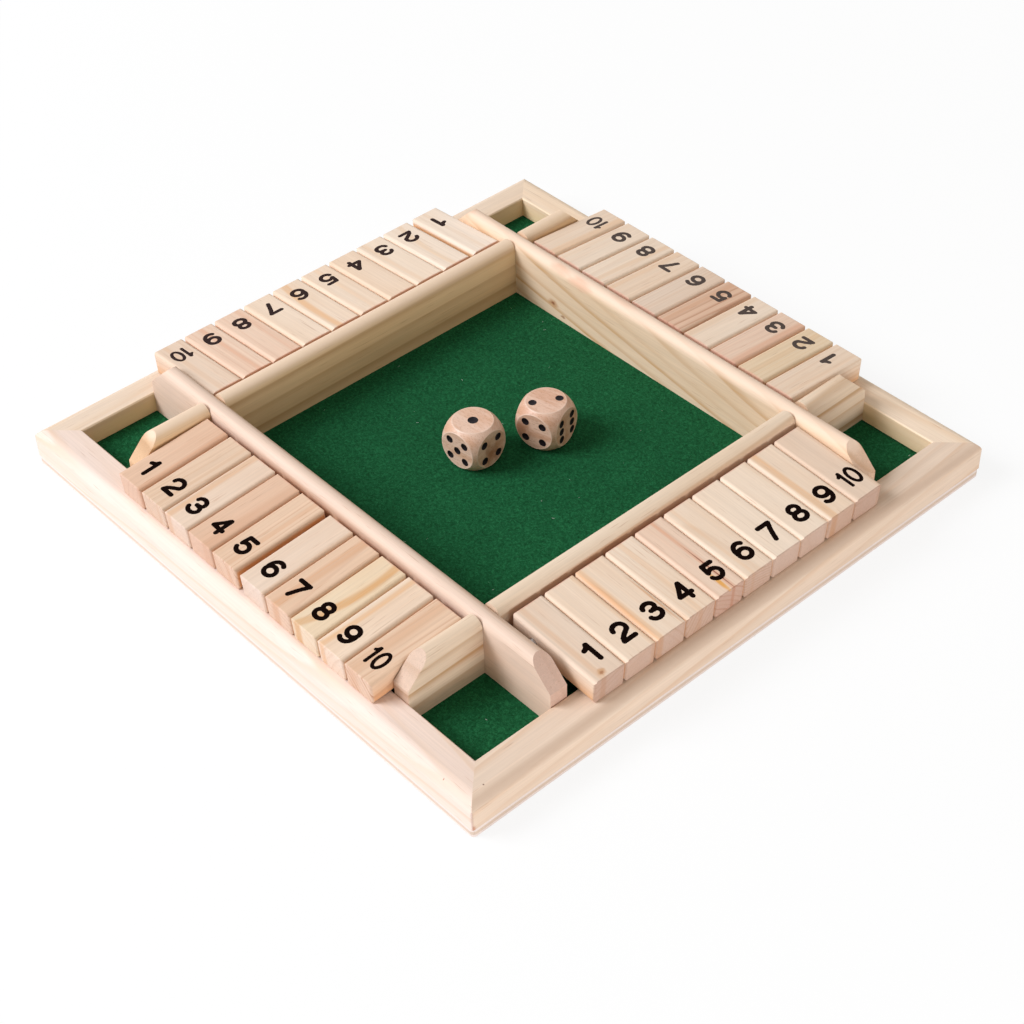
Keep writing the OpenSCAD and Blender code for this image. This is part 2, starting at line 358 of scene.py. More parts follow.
# Four patterns, each much longer along the fibres than across them: slow bends of the grain,
# because the pith isn't straight, fine fibres, warm patches and short resin canals. Each has
# its scale per mm across and along the fibres, its detail and its roughness.
bend, fibre, patch, canals = (
    add_node(figure, "ShaderNodeTexNoise", {
        "Vector": add_node(figure, "ShaderNodeVectorMath", {0: place, 1: (narrow, long, narrow)},
                           operation="MULTIPLY"),
        "W": seed, "Scale": 1, "Detail": detail, "Roughness": roughness},
        noise_dimensions="4D")
    for narrow, long, detail, roughness in (
        (0.045, 0.011, 2, 0.5), (1.7, 0.035, 5, 0.6), (0.09, 0.022, 3, 0.5),
        (2.6, 0.11, 1, 0.5)))
bend = add_node(figure, "ShaderNodeVectorMath", {
    0: bend.outputs["Color"], 1: (0.5, 0.5, 0.5)}, operation="SUBTRACT")
bend = add_node(figure, "ShaderNodeVectorMath", {
    0: bend, "Scale": board.outputs["Wander"]}, operation="SCALE")
lean = add_node(figure, "ShaderNodeVectorMath", {
    0: board.outputs["Lean"], "Scale": along.outputs["Y"]}, operation="SCALE")
from_pith = place
for operation, other in (("SUBTRACT", board.outputs["Pith"]), ("ADD", bend),
                         ("SUBTRACT", lean), ("MULTIPLY", (1, 0, 1))):
    from_pith = add_node(figure, "ShaderNodeVectorMath", {
        0: from_pith, 1: other}, operation=operation)
radius = add_node(figure, "ShaderNodeVectorMath", {0: from_pith}, operation="LENGTH")
# A trunk tapers, so a flat sawn face cuts its rings in long arches.
radius = add_node(figure, "ShaderNodeMath", {
    0: along.outputs["Y"], 1: board.outputs["Taper"], 2: radius}, operation="MULTIPLY_ADD")
years = add_node(figure, "ShaderNodeMath", {
    0: radius, 1: board.outputs["Ring width"]}, operation="DIVIDE")
years = add_node(figure, "ShaderNodeMath", {0: years, 1: seed}, operation="ADD")
season = add_node(figure, "ShaderNodeMath", {0: years}, operation="FRACT")
year = add_node(figure, "ShaderNodeMath", {0: years}, operation="FLOOR")

# Late wood darkens slowly through the year and stops sharply at the ring's end.
rise = add_node(figure, "ShaderNodeMapRange", {
    "Value": season, "From Min": 0.48, "From Max": 0.9}, interpolation_type="SMOOTHSTEP")
stop = add_node(figure, "ShaderNodeMapRange", {
    "Value": season, "From Min": 0.9, "From Max": 1.0, "To Min": 1, "To Max": 0},
    interpolation_type="SMOOTHSTEP")
year_luck = add_node(figure, "ShaderNodeTexWhiteNoise", {"W": year}, noise_dimensions="1D")
year_weight = add_node(figure, "ShaderNodeMapRange", {
    "Value": year_luck, "To Min": 0.15, "To Max": 1})
late = add_node(figure, "ShaderNodeMath", {0: rise, 1: stop}, operation="MULTIPLY")
late = add_node(figure, "ShaderNodeMath", {0: late, 1: year_weight}, operation="MULTIPLY")

# Fibres break up the rings, and on a cut end the rings have a strength of their own.
fibre_lift = add_node(figure, "ShaderNodeMapRange", {
    "Value": fibre, "From Min": 0.3, "From Max": 0.7, "To Min": 0.55, "To Max": 1.3})
end_face = add_node(figure, "ShaderNodeMath", {
    0: board.outputs["Across fibres"]}, operation="ABSOLUTE")
end_lift = add_node(figure, "ShaderNodeMapRange", {
    "Value": end_face, "From Min": 0.2, "From Max": 0.7, "To Min": 1.0,
    "To Max": board.outputs["End rings"]})
ring_amount = late
for lift in (fibre_lift, end_lift, board.outputs["Ring strength"]):
    ring_amount = add_node(figure, "ShaderNodeMath", {
        0: ring_amount, 1: lift}, operation="MULTIPLY")
ring_amount.use_clamp = True

# One warm resinous streak, straight or bowed, where the board has one.
bow_reach = add_node(figure, "ShaderNodeMath", {
    0: along.outputs["Y"], 1: 0.06}, operation="MULTIPLY")
bow_reach = add_node(figure, "ShaderNodeMath", {0: bow_reach, 1: 2.0}, operation="POWER")
bow = add_node(figure, "ShaderNodeMath", {
    0: bow_reach, 1: board.outputs["Streak bow"]}, operation="MULTIPLY")
sway = add_node(figure, "ShaderNodeSeparateXYZ", {0: bend})
off_streak = along.outputs["X"]
for operation, other in (("SUBTRACT", board.outputs["Streak place"]), ("ADD", bow),
                         ("ADD", sway.outputs["X"])):
    off_streak = add_node(figure, "ShaderNodeMath", {0: off_streak, 1: other}, operation=operation)
off_streak = add_node(figure, "ShaderNodeMath", {0: off_streak}, operation="ABSOLUTE")
streak_core = add_node(figure, "ShaderNodeMath", {
    0: board.outputs["Streak width"], 1: 0.3}, operation="MULTIPLY")
streak = add_node(figure, "ShaderNodeMapRange", {
    "Value": off_streak, "From Min": streak_core, "From Max": board.outputs["Streak width"],
    "To Min": 1, "To Max": 0}, interpolation_type="SMOOTHSTEP")
for lift in (board.outputs["Streak strength"], fibre_lift):
    streak = add_node(figure, "ShaderNodeMath", {0: streak, 1: lift}, operation="MULTIPLY")
streak.use_clamp = True

# Over the ground lie slow patches a little warmer than the rest, the rings and the streak.
patch_amount = add_node(figure, "ShaderNodeMapRange", {
    "Value": patch, "From Min": 0.35, "From Max": 0.7, "To Max": 0.28})
tone = board.outputs["Ground"]
for amount, colour in ((patch_amount, "Streak colour"), (ring_amount, "Ring colour"),
                       (streak, "Streak colour")):
    tone = add_node(figure, "ShaderNodeMix", {
        "Factor": amount, UNDER: tone, OVER: board.outputs[colour]}, data_type="RGBA")
tone = shaded(figure, tone, fibre, 0.25, 0.75, 0.9, 1.06)

# Resin canals: hair-thin brown dashes a few millimetres long.
canal_amount = add_node(figure, "ShaderNodeMapRange", {
    "Value": canals, "From Min": 0.66, "From Max": 0.76, "To Max": 0.35})
tone = add_node(figure, "ShaderNodeMix", {
    "Factor": canal_amount, UNDER: tone, OVER: linear("#a9764f")}, data_type="RGBA")

# Cut ends drink in dust and oil, and look redder and darker than the long faces. The end tone
# given may add painted light and shade.
end_amount = add_node(figure, "ShaderNodeMapRange", {
    "Value": end_face, "From Min": 0.2, "From Max": 0.7})
pores = add_node(figure, "ShaderNodeTexNoise", {"Vector": place, "Scale": 4.5, "Detail": 3})
end_tone = add_node(figure, "ShaderNodeVectorMath", {
    0: tone, 1: board.outputs["End tone"]}, operation="MULTIPLY")
end_tone = shaded(figure, end_tone, pores, 0.3, 0.7, 0.9, 1.06)
tone = add_node(figure, "ShaderNodeMix", {
    "Factor": end_amount, UNDER: tone, OVER: end_tone}, data_type="RGBA")
ridge = add_node(figure, "ShaderNodeMath", {0: late, 1: 0.5, 2: fibre}, operation="MULTIPLY_ADD")
add_node(figure, "NodeGroupOutput", {"Colour": tone, "Height": ridge})

# Painted shade: tile sides in a gap or down a free side are multiplied by this brown.
PAINTED_GAP_SHADE = (0.92, 0.66, 0.42)     # the share of each colour that comes back out of a gap


def pine(name, middle, turned, fibres, marks=(), ends_from=0.0, row=None, **look):
    """Bare sanded pine. Its pattern's own frame is in mm: Y runs along the fibres.

    A mark is a knot, stain or streak, or a patch of painted light or shade: its middle and half
    sizes in mm, colour and strength. Cut faces count as ends from ends_from mm off the middle. A
    row is the way in which the pieces stand side by side, and whether this one has a neighbour
    before and after it; it places the painted shade in the gaps.
    """
    finish, tree, coords, in_mm = begin_finish(name, middle, turned)
    across = add_node(tree, "ShaderNodeVectorMath", {
        0: coords.outputs["Normal"], 1: fibres}, operation="DOT_PRODUCT")
    in_place = add_node(tree, "ShaderNodeSeparateXYZ", {0: in_mm})
    off_middle = add_node(tree, "ShaderNodeMath", {0: in_place.outputs["Y"]}, operation="ABSOLUTE")
    is_end = add_node(tree, "ShaderNodeMath", {
        0: off_middle, 1: ends_from}, operation="GREATER_THAN")
    across = add_node(tree, "ShaderNodeMath", {0: across, 1: is_end}, operation="MULTIPLY")
    given_look = {socket.capitalize().replace("_", " "):
                  linear(value) if isinstance(value, str) else value
                  for socket, value in look.items()}
    figured = add_node(tree, "ShaderNodeGroup", {
        "Place": in_mm, "Across fibres": across, **given_look}, node_tree=figure)
    tone = figured.outputs["Colour"]
    for mark_middle, half_size, colour, strength in marks:
        offset = add_node(tree, "ShaderNodeVectorMath", {
            0: in_mm, 1: mark_middle}, operation="SUBTRACT")
        offset = add_node(tree, "ShaderNodeVectorMath", {
            0: offset, 1: half_size}, operation="DIVIDE")
        reach = add_node(tree, "ShaderNodeVectorMath", {0: offset}, operation="LENGTH")
        ragged = add_node(tree, "ShaderNodeTexNoise", {
            "Vector": offset, "Scale": 1.6, "Detail": 3})
        reach = add_node(tree, "ShaderNodeMath", {
            0: ragged, 1: 0.7, 2: reach}, operation="MULTIPLY_ADD")
        cover = add_node(tree, "ShaderNodeMapRange", {
            "Value": reach, "From Min": 0.7, "From Max": 1.35, "To Min": strength,
            "To Max": 0.0}, interpolation_type="SMOOTHSTEP")
        tone = add_node(tree, "ShaderNodeMix", {
            "Factor": cover, UNDER: tone, OVER: linear(colour)}, data_type="RGBA")
    if row:
        # Painted shade: the sides are browned in the narrow gap beside a neighbour, for the light
        # that comes back out of it as a brown glow, and slowly browner down a free side.
        way, before, after = row
        sideways = add_node(tree, "ShaderNodeVectorMath", {
            0: coords.outputs["Normal"], 1: way}, operation="DOT_PRODUCT")
        for sign, neighbour in ((-1.0, before), (1.0, after)):
            faces_it = add_node(tree, "ShaderNodeMapRange", {
                "Value": sideways, "From Min": 0.75 * sign, "From Max": sign})
            gap_shade_top, gap_shade_full = (3.6, 2.6) if neighbour else (2.0, -4.0)
            depth = add_node(tree, "ShaderNodeMapRange", {
                "Value": in_place.outputs["Z"], "From Min": gap_shade_top,
                "From Max": gap_shade_full})
            between = add_node(tree, "ShaderNodeMath", {
                0: faces_it, 1: depth}, operation="MULTIPLY")
            browner = add_node(tree, "ShaderNodeVectorMath", {
                0: tone, 1: PAINTED_GAP_SHADE}, operation="MULTIPLY")
            tone = add_node(tree, "ShaderNodeMix", {
                "Factor": between, UNDER: tone, OVER: browner}, data_type="RGBA")
    close_finish(tree, {"Base Color": tone, "Roughness": 0.58, "Specular IOR Level": 0.3},
                 figured.outputs["Height"], strength=0.35, depth=0.00006)
    return finish


def round_turn(side_number, vector):
    """Turns a point given for the front side to another side of the board."""
    return Matrix.Rotation(math.radians(90 * side_number), 3, "Z") @ Vector(vector)


def pine_sides(part, middle, looks, **more):
    """Gives each side's rail or wall its own pine, with the fibres along the side."""
    for number, side in enumerate(SIDES):
        give(f"{part}_{side}", pine(
            f"sanded pine, {side} {part}", round_turn(number, middle),
            (0, 0, math.radians(90 * number - 90)), round_turn(number, (1, 0, 0)),
            **looks[number], **more))


RAIL_MIDDLE = (0, -0.106, 0.009)   # middle of the front rail's section
# Painted light: the far rails' inner faces, in shade in the pockets, are painted golden for
# the warm light that the wood around bounces onto them.
PAINTED_WARM_INSIDE = ((-6.4, 0, -1), (1.8, 260, 10), "#f2d6a8", 0.85)
# Each rail's colours, the pith's place from the rail's middle in mm, its lean, and its rings.
RAIL_LOOKS = (
    dict(ground="#edd8cc", ring_colour="#dcb691", streak_colour="#e6c5a9",
         pith=(-26, 0, -38), lean=(0.02, 0, 0.05), wander=3.0, ring_width=3.4,
         ring_strength=0.42, seed=3.1,
         marks=(((4.53, 98.6, 4.2), (0.4, 0.3, 0.6), "#b06a48", 0.8),)),
    dict(ground="#e5ceba", ring_colour="#d4aa86", streak_colour="#e0bfa2",
         pith=(34, 0, -22), lean=(-0.03, 0, 0.06), wander=3.6, ring_width=4.2,
         ring_strength=0.45, seed=7.4,
         marks=(((2.3, -104.2, 5.0), (0.4, 0.4, 0.6), "#5c3222", 0.9),
                ((5.6, -111.5, -5.0), (1.2, 1.2, 2.2), "#b8704e", 0.6),
                # Painted shade: a darker band along the right rail's rounded outer edge.
                ((4.8, 0, 4.0), (3, 220, 3), "#d2b7a2", 0.9))),
    dict(ground="#f4ddc5", ring_colour="#deb183", streak_colour="#e8c398",
         pith=(-18, 0, -52), lean=(0.04, 0, -0.05), wander=4.0, ring_width=3.0,
         ring_strength=0.45, seed=12.8, marks=(PAINTED_WARM_INSIDE,)),
    dict(ground="#e9d3be", ring_colour="#d8b188", streak_colour="#e3c29b",
         pith=(22, 0, -44), lean=(0.01, 0, 0.05), wander=3.2, ring_width=3.8,
         ring_strength=0.42, seed=18.2, marks=(PAINTED_WARM_INSIDE,)),
)
pine_sides("rail", RAIL_MIDDLE, RAIL_LOOKS)


# ---- Dividing walls ------------------------------------------------------------------------
# Four pine slats, 6.5 mm thick with a bull-nosed top, halved into each other where they
# cross and glued down on the felt. Their ends are cut to a slope beside the pockets.

WALL_MIDDLE = (0, -0.06775, 0.0174)
WALL_ENDS = 80.0           # mm from the middle; nearer in, cut faces belong to the crossings
# Painted shade: a wall's side towards its row of tiles is painted brown, for the light that
# turns brown between them.
PAINTED_WALL_GAP_SHADE = ((3.4, 0, 1), (1.8, 88, 9), "#cf9a70", 0.85)
# As for the rails. The marks on the back wall are its pale top, a knot with a dent beside it
# and pink stains. The left wall's ground is yellower, painted warm shade on its shaded sides,
# and its one mark gives back its pale top.
WALL_LOOKS = (
    dict(ground="#e4cab8", ring_colour="#bd8e60", streak_colour="#d8b495",
         pith=(-60, 0, 3), lean=(0.0, 0, 0.012), wander=5.0, ring_width=6.4,
         ring_strength=0.4, seed=2.7, marks=(PAINTED_WALL_GAP_SHADE,)),
    dict(ground="#e7d1ba", ring_colour="#b98a58", streak_colour="#d8b48f",
         pith=(5, 0, -58), lean=(0.0, 0, 0.02), wander=2.6, ring_width=6.2,
         ring_strength=0.85, seed=6.15, marks=(PAINTED_WALL_GAP_SHADE,)),
    dict(ground="#efd3b6", ring_colour="#cc9a62", streak_colour="#e0b788",
         pith=(8, 0, 14), taper=0.15, wander=5.0, ring_width=4.6,
         ring_strength=0.8, seed=9.3,
         marks=(((0, 0, 11), (7, 200, 4.6), "#f0d5c0", 0.8),
                ((-3.3, 44.6, -5.2), (3, 3.4, 1.9), "#c58f62", 0.75),
                ((-3.3, 44.6, -5.2), (2, 1.3, 0.8), "#8d5634", 0.85),
                ((-3.3, 39.4, -8.7), (2, 1.6, 0.8), "#9c6238", 0.7),
                ((-2.4, 31.5, 9.6), (2.6, 7.5, 3.4), "#e2ab8c", 0.5),
                ((-1.6, 42.0, 10.2), (2.6, 6.5, 2.6), "#e1ab8c", 0.45),
                ((0.6, 12.0, 10.8), (2.6, 9.0, 2.6), "#e3b295", 0.35),
                ((0, 93.0, 8.0), (4, 6.0, 5.0), "#e2ab8c", 0.6))),
    # Painted shade: a yellower ground for the shaded sides, the top kept pale by its mark.
    dict(ground="#ebca9f", ring_colour="#a97440", streak_colour="#cfa26c",
         pith=(6, 0, -64), lean=(0.0, 0, -0.01), wander=2.6, ring_width=7.2,
         ring_strength=0.95, seed=14.85,
         marks=(((0, 0, 11), (7, 200, 4.6), "#e8ceb5", 0.95),)),
)
pine_sides("wall", WALL_MIDDLE, WALL_LOOKS, ends_from=WALL_ENDS)


# ---- Rods ----------------------------------------------------------------------------------
# One 3 mm drawn steel rod through each row of tiles, seated in blind holes in the walls.
# It shows only in the gaps between tiles, as a bright line.

# Drawn bright steel: a grey metal, clean but not polished, dulled unevenly by the die.
steel, tree, _, in_mm = begin_finish("drawn bright steel")
draw_lines = add_node(tree, "ShaderNodeTexNoise", {"Vector": in_mm, "Scale": 1.4, "Detail": 4})
dullness = add_node(tree, "ShaderNodeMapRange", {
    "Value": draw_lines, "From Min": 0.3, "From Max": 0.7, "To Min": 0.24, "To Max": 0.42})
tone = add_node(tree, "ShaderNodeMix", {
    "Factor": draw_lines, UNDER: linear("#aeb0b2"), OVER: linear("#d2d4d6")},
    data_type="RGBA")
close_finish(tree, {"Base Color": tone, "Metallic": 1.0, "Roughness": dullness}, draw_lines,
             strength=0.2, depth=0.00002)
for side in SIDES:
    give(f"rod_{side}", steel)


# ---- Tiles ---------------------------------------------------------------------------------
# Forty sanded pine tiles, 12.3 by 35.5 by 8.9 mm, each drilled across and turning on its rod.
# They are cut from mixed stock, so neighbours differ in tone, ring lines and resin streaks.

TILE_TILT = math.radians(4.2815)    # the outer end rests on the rail's flat top

# Ground, ring and streak colours of the stock that the tiles come from.
STOCK = {
    "white": ("#f0decd", "#dcbfa8", "#e8c8a8"),
    "pale": ("#efdbc7", "#dab99e", "#e6c2a0"),
    "cream": ("#ecd6c1", "#d6b08f", "#e4b68a"),
    "yellow": ("#e9d3b6", "#d6b183", "#d6a36d"),
    "pink": ("#eaceb8", "#cfa084", "#dba585"),
    "beige": ("#e5ceba", "#cba486", "#d8aa82"),
    "tan": ("#e1c6ae", "#c59a76", "#d0a076"),
    "peach": ("#e3c3a8", "#c69474", "#d3a07a"),
    "rosy": ("#e0bea4", "#b0785a", "#c98e68"),
}
# Each tile: stock, ring width and strength, then its streak's place, width, bow, strength.
TILE_LOOKS = {
    "front": (
        ("rosy", 2.4, 0.10, 5.5, 2.0, 0.0, 0.5),
        ("tan", 1.3, 0.45, 2.8, 1.0, 0.0, 0.4),
        ("beige", 2.2, 0.20, -3.8, 2.0, 0.0, 0.7),
        ("rosy", 2.6, 0.10, 4.0, 3.0, 0.0, 0.3),
        ("peach", 1.2, 0.55, 1.8, 1.4, 0.0, 0.5),
        ("beige", 3.0, 0.08, 5.6, 1.2, 0.0, 0.3),
        ("peach", 2.0, 0.30, -1.0, 2.6, 0.0, 0.8),
        ("yellow", 2.8, 0.25, 2.4, 2.3, 2.2, 1.0),
        ("cream", 2.6, 0.25, -2.6, 1.5, 0.3, 1.0),
        ("peach", 1.7, 0.55, -2.2, 3.0, 0.0, 0.5)),
    "right": (
        ("beige", 2.2, 0.20, -3.0, 1.6, 0.0, 0.5),
        ("cream", 2.6, 0.12, 5.0, 1.6, 0.0, 0.5),
        ("cream", 2.4, 0.15, -4.9, 1.7, 0.0, 0.8),
        ("cream", 1.5, 0.45, -0.4, 1.4, 0.0, 0.4),
        ("pink", 1.6, 0.45, 1.0, 1.0, 0.0, 0.9),
        ("cream", 1.2, 0.35, -3.0, 1.0, 0.0, 0.3),
        ("pale", 3.0, 0.06, 0.0, 0.0, 0.0, 0.0),
        ("pale", 2.8, 0.08, 4.6, 1.0, 0.0, 0.3),
        ("cream", 2.3, 0.15, -3.4, 2.0, 0.0, 0.9),
        ("beige", 2.8, 0.12, 5.0, 1.4, 0.0, 0.3)),
    "back": (
        ("cream", 1.6, 0.45, -3.0, 1.0, 0.0, 0.2),
        ("yellow", 1.5, 0.40, 0.4, 1.6, 0.0, 0.3),
        ("pink", 1.8, 0.35, -4.6, 2.4, 0.0, 0.8),
        ("pale", 2.4, 0.20, 4.4, 2.2, 0.0, 0.6),
        ("rosy", 1.3, 0.75, 2.6, 1.4, 0.0, 0.5),
        ("beige", 1.1, 0.50, -1.0, 1.0, 0.0, 0.2),
        ("cream", 2.2, 0.25, 3.6, 1.6, 0.0, 0.4),
        ("pale", 2.0, 0.30, -1.8, 1.5, 0.3, 0.7),
        ("pale", 2.4, 0.20, 3.8, 1.5, 0.0, 0.3),
        ("cream", 2.3, 0.25, -4.4, 2.4, 0.0, 0.6)),
    "left": (
        ("white", 2.0, 0.25, 0.6, 1.2, 0.0, 0.4),
        ("white", 1.7, 0.35, 1.6, 1.5, 1.2, 0.8),
        ("pale", 2.4, 0.15, 3.0, 1.4, 0.0, 0.5),
        ("cream", 2.8, 0.08, 0.0, 0.0, 0.0, 0.0),
        ("cream", 2.2, 0.20, -0.4, 1.6, 0.0, 0.3),
        ("cream", 2.2, 0.25, 2.8, 2.0, 0.8, 1.0),
        ("cream", 3.2, 0.06, 0.0, 0.0, 0.0, 0.0),
        ("pink", 1.8, 0.30, -3.4, 2.0, 0.0, 0.4),
        ("pink", 1.9, 0.35, -0.6, 1.6, 0.0, 0.7),
        ("beige", 1.7, 0.35, 1.8, 1.4, 0.0, 0.4)),
}

# Small knots and resin spots, from the rod's axis in the tile's own frame.
TILE_MARKS = {
    "right_3": (((-5.3, -8.0, 4.3), (1.3, 24.0, 1.4), "#dba272", 0.6),
                ((4.6, -14.0, 4.4), (0.6, 16.0, 1.0), "#cf9c72", 0.7)),
    "right_1": (((-1.5, -23.6, 4.4), (2.0, 1.8, 0.9), "#cd9f78", 0.9),
                ((-1.7, -23.9, 4.4), (1.0, 0.8, 0.6), "#9a6542", 0.7)),
    "right_5": (((-0.6, -21.5, 4.4), (1.1, 6.5, 1.0), "#e0a251", 0.95),
                ((1.3, -16.0, 4.4), (0.32, 16.0, 0.8), "#8a4a38", 0.95)),
}
# Where the top runs into the sanded inner end, end grain shows pink.
SANDED_END = ((0, 9.7, 3.6), (9, 1.1, 3), "#dba48c", 0.6)
# The cut outer ends carry painted light and shade: paler on the front row, much darker on
# the right one.
END_TONES_AND_PAINTED_LIGHT = {"front": (0.94, 0.93, 0.98), "right": (0.66, 0.56, 0.55),
             "back": (0.83, 0.76, 0.77), "left": (0.83, 0.76, 0.77)}

# The pith lies below or beside the tile, nearer or farther from piece to piece.
PITH_TURN = 137.5          # degrees from one tile's pith to the next, so that none repeats
PITH_BESIDE = 38           # mm, farthest to the side
PITH_BELOW = (14, 22)      # mm, the least below the tile and how much more it may be
TILE_SEEDS = (20, 1.7)     # the first tile's seed and the step to the next
hinges = {joint["child"]: Vector(joint["pos_m"]) for joint in frame["joints"]
          if joint["type"] == "hinge"}
for number, side in enumerate(SIDES):
    for count, (stock, ring_width, ring_strength, streak_place, streak_width, streak_bow,
                streak_strength) in enumerate(TILE_LOOKS[side]):
        tile = f"tile_{side}_{count + 1}"
        ground, ring_colour, streak_colour = STOCK[stock]
        piece_number = number * 10 + count
        angle = math.radians(piece_number * PITH_TURN)
        give(tile, pine(
            f"sanded pine, {side} tile {count + 1}", hinges[tile],
            (TILE_TILT, 0, math.radians(90 * number)), round_turn(number, (0, 1, 0)),
            ground=ground, ring_colour=ring_colour, streak_colour=streak_colour,
            pith=(PITH_BESIDE * math.cos(angle), 0,
                  -PITH_BELOW[0] - PITH_BELOW[1] * abs(math.sin(angle))),
            lean=(0.04 * math.sin(3 * angle), 0, 0.03 * math.cos(2 * angle)),
            wander=2.2, ring_width=ring_width, ring_strength=ring_strength,
            streak_place=streak_place, streak_width=streak_width, streak_bow=streak_bow,
            streak_strength=0.8 * streak_strength,
            seed=TILE_SEEDS[0] + TILE_SEEDS[1] * piece_number,
            end_tone=END_TONES_AND_PAINTED_LIGHT[side], end_rings=2.2,
            marks=(SANDED_END, *TILE_MARKS.get(f"{side}_{count + 1}", ())),
            row=(round_turn(number, (1, 0, 0)), count > 0, count < 9)))


# ---- Printed numbers -----------------------------------------------------------------------
# Black numbers pad-printed near each tile's outer end, about 8 mm high, to be read from that
# side of the board. The ink is a film a few hundredths of a millimetre thick, edges soft.

TILE_THICKNESS = 0.0089
INK_CENTRE = -17.1         # mm from the rod towards the tile's outer end
INK_FILM = 0.03            # mm
INK_RIM = 0.004            # mm, where the film starts above the wood at its rim
INK_LEAST = 0.008          # mm, its least height inside the rim
INK_ROOT = -0.01           # mm, its underside, a hair inside the wood
INK_CROWN = 0.25           # mm from the edge to where the film is at its full height
INK_ROUGH = 0.035          # mm, how far the edge wanders
INK_CELL = 0.13            # mm, grid step of the film's mesh
INK_STROKE = 0.80          # mm, half a stroke of the single numbers
INK_STROKE_TEN = 0.60      # the two figures of ten share a tile, so they are drawn thinner
BOW_STEPS = 22             # straight pieces in a bowed stroke


def bow_of(cx, cy, rx, ry, first, last):
    """Points along part of an oval, from one angle to another in degrees."""
    angles = [math.radians(first + (last - first) * k / BOW_STEPS)
              for k in range(BOW_STEPS + 1)]
    return [(cx + rx * math.cos(a), cy + ry * math.sin(a)) for a in angles]


# The strokes of each number, in mm from its middle.
STROKES = {
    1: [[(-1.05, 1.5), (-0.3, 1.75), (0.35, 2.3), (0.8, 3.05)], [(0.92, 3.0), (0.92, -3.08)]],
    2: [bow_of(0, 1.15, 2.1, 1.93, 172, -32) + [(-0.3, -1.1), (-1.55, -2.1), (-2.0, -3.05)],
        [(-2.05, -3.08), (2.15, -3.08)]],
    3: [bow_of(-0.05, 1.5, 1.9, 1.58, 168, -70), bow_of(0, -1.35, 2.1, 1.73, 70, -168),
        [(-0.35, 0.12), (0.6, 0.12)]],
    4: [[(1.0, 3.05), (-2.15, -1.35), (2.2, -1.45)], [(1.1, 3.05), (1.1, -3.08)]],
    5: [[(1.95, 3.05), (-1.45, 3.05), (-1.75, 0.25)],
        bow_of(-0.02, -1.1, 2.1, 1.98, 144, -158)],
    6: [bow_of(0, -1.2, 2.05, 1.88, 0, 360), bow_of(0.35, 0.1, 2.4, 2.98, 52, 196)],
    7: [[(-2.1, 3.05), (2.15, 3.05), (0.95, 1.0), (0.1, -0.9), (-0.75, -3.05)]],
    8: [bow_of(0, 1.55, 1.75, 1.5, 0, 360), bow_of(0, -1.4, 2.05, 1.68, 0, 360)],
    9: [bow_of(0, 1.2, 2.05, 1.88, 0, 360), bow_of(-0.35, -0.1, 2.4, 2.98, -128, 16)],
    10: [[(-3.05, 1.75), (-2.6, 2.0), (-2.1, 3.0)], [(-2.0, 3.0), (-2.0, -3.05)],
         bow_of(1.45, 0, 1.62, 3.08, 0, 360)],
}


def print_number(value):
    """The ink film of one number: points in mm on the tile's face, and its faces."""
    half_stroke = INK_STROKE_TEN if value == 10 else INK_STROKE
    xs = np.arange(-4.2, 4.2 + INK_CELL, INK_CELL)
    ys = np.arange(-4.3, 4.3 + INK_CELL, INK_CELL)
    gx, gy = np.meshgrid(xs, ys)

    def depth_at(px, py):
        """How far a point is outside the strokes' edge, with the edge a little rough."""
        best = np.full(px.shape, np.inf)
        for stroke in STROKES[value]:
            for (ax, ay), (bx, by) in zip(stroke[:-1], stroke[1:]):
                dx, dy = bx - ax, by - ay
                t = np.clip(((px - ax) * dx + (py - ay) * dy) / (dx * dx + dy * dy), 0, 1)
                best = np.minimum(best, np.hypot(px - ax - t * dx, py - ay - t * dy))
        rough = (np.sin(px * 9.1 + value) * np.sin(py * 7.7 + 2 * value)
                 + 0.6 * np.sin(px * 17.3 - py * 14.1 + value))
        return best - half_stroke + INK_ROUGH * rough

    depth = depth_at(gx, gy)
    inside = depth < 0.35 * INK_CELL
    quads = inside[:-1, :-1] & inside[1:, :-1] & inside[:-1, 1:] & inside[1:, 1:]
    rows, columns = len(ys), len(xs)
    uses = np.zeros((rows, columns), int)
    for a in (0, 1):
        for b in (0, 1):
            uses[a:rows - 1 + a, b:columns - 1 + b] += quads
    rim = (uses > 0) & (uses < 4)
    # Corners of the film's rim are drawn onto the stroke's edge.
    step = 0.01
    for _ in range(3):
        here = depth_at(gx, gy)
        slope_x = (depth_at(gx + step, gy) - here) / step
        slope_y = (depth_at(gx, gy + step) - here) / step
        size = np.maximum(np.hypot(slope_x, slope_y), 0.3)
        move = np.where(rim, np.clip(here, -INK_CELL, INK_CELL), 0) / size
        gx, gy = gx - move * slope_x / size, gy - move * slope_y / size
    crown = INK_FILM * np.sqrt(np.clip(-depth / INK_CROWN, 0, 1))
    upper, lower, points = {}, {}, []
    for j, i in zip(*np.nonzero(uses)):
        upper[j, i] = lower[j, i] = len(points)
        points.append((gx[j, i], gy[j, i], INK_RIM if rim[j, i] else max(crown[j, i], INK_LEAST)))
        if not rim[j, i]:
            lower[j, i] = len(points)
            points.append((gx[j, i], gy[j, i], INK_ROOT))
    faces = []
    for j, i in zip(*np.nonzero(quads)):
        corners = ((j, i), (j, i + 1), (j + 1, i + 1), (j + 1, i))
        faces.append([upper[c] for c in corners])
        below = [lower[c] for c in reversed(corners)]
        if set(below) != set(faces[-1]):
            faces.append(below)
    return points, faces
